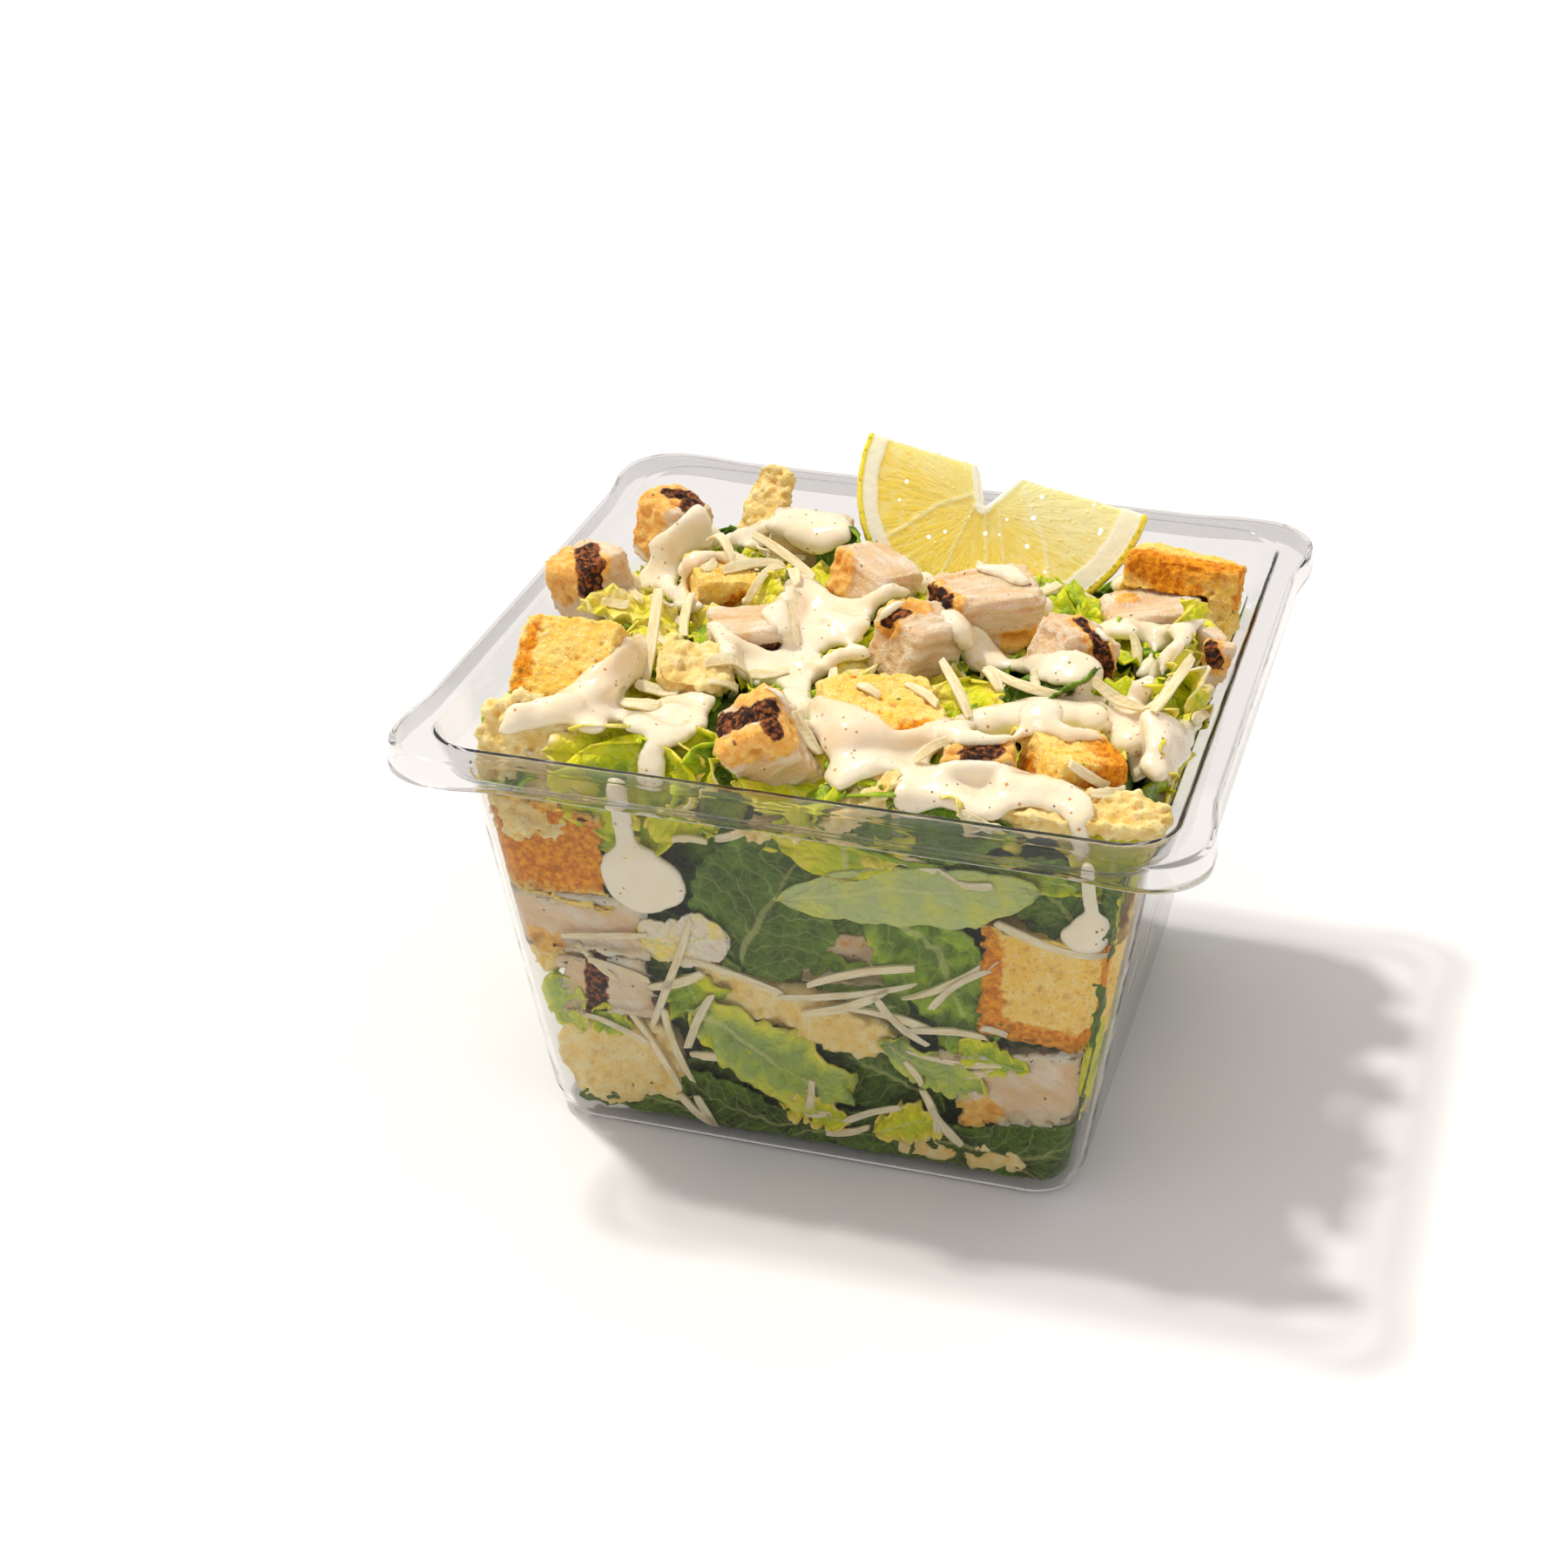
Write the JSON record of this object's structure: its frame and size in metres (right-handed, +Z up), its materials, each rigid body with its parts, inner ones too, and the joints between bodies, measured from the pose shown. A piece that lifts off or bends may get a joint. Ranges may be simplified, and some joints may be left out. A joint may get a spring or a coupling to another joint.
{
  "type": "chicken caesar salad in a tub",
  "caption": "Chicken caesar salad in a clear square tub, heaped with chicken, croutons, cheese crisps and a notched lemon slice.",
  "frame": {"origin": "middle of the tub's foot, where it stands", "axes": "+Z up, +X along the front of the rim to the right, +Y to the back, where the lemon slice stands"},
  "size_m": [0.1432, 0.1432, 0.1068],
  "materials": {
    "tub_plastic": "clear, thin and glossy",
    "salad_greens": "crisp lettuce with a soft sheen",
    "roast_chicken": "moist cooked meat with a seared face",
    "toasted_bread": "dry golden crumb with a brown crust",
    "baked_cheese": "pale, bubbly and slightly oily",
    "lemon": "wet cut flesh, waxy rind",
    "dressing": "thick, creamy and glossy",
    "hard_cheese": "dry ivory shreds"
  },
  "bodies": {
    "root": {"tub": "tub_plastic", "chicken_1": "roast_chicken", "chicken_2": "roast_chicken", "chicken_3": "roast_chicken", "chicken_4": "roast_chicken", "chicken_5": "roast_chicken", "chicken_6": "roast_chicken", "chicken_7": "roast_chicken", "chicken_8": "roast_chicken", "chicken_9": "roast_chicken", "chicken_10": "roast_chicken", "chicken_11": "roast_chicken", "chicken_12": "roast_chicken", "crouton_1": "toasted_bread", "crouton_2": "toasted_bread", "crouton_3": "toasted_bread", "crouton_4": "toasted_bread", "crouton_5": "toasted_bread", "crisp_1": "baked_cheese", "crisp_2": "baked_cheese", "crisp_3": "baked_cheese", "crisp_4": "baked_cheese", "crisp_5": "baked_cheese", "crisp_6": "baked_cheese", "lemon": "lemon", "salad": "salad_greens"}
  },
  "joints": []
}
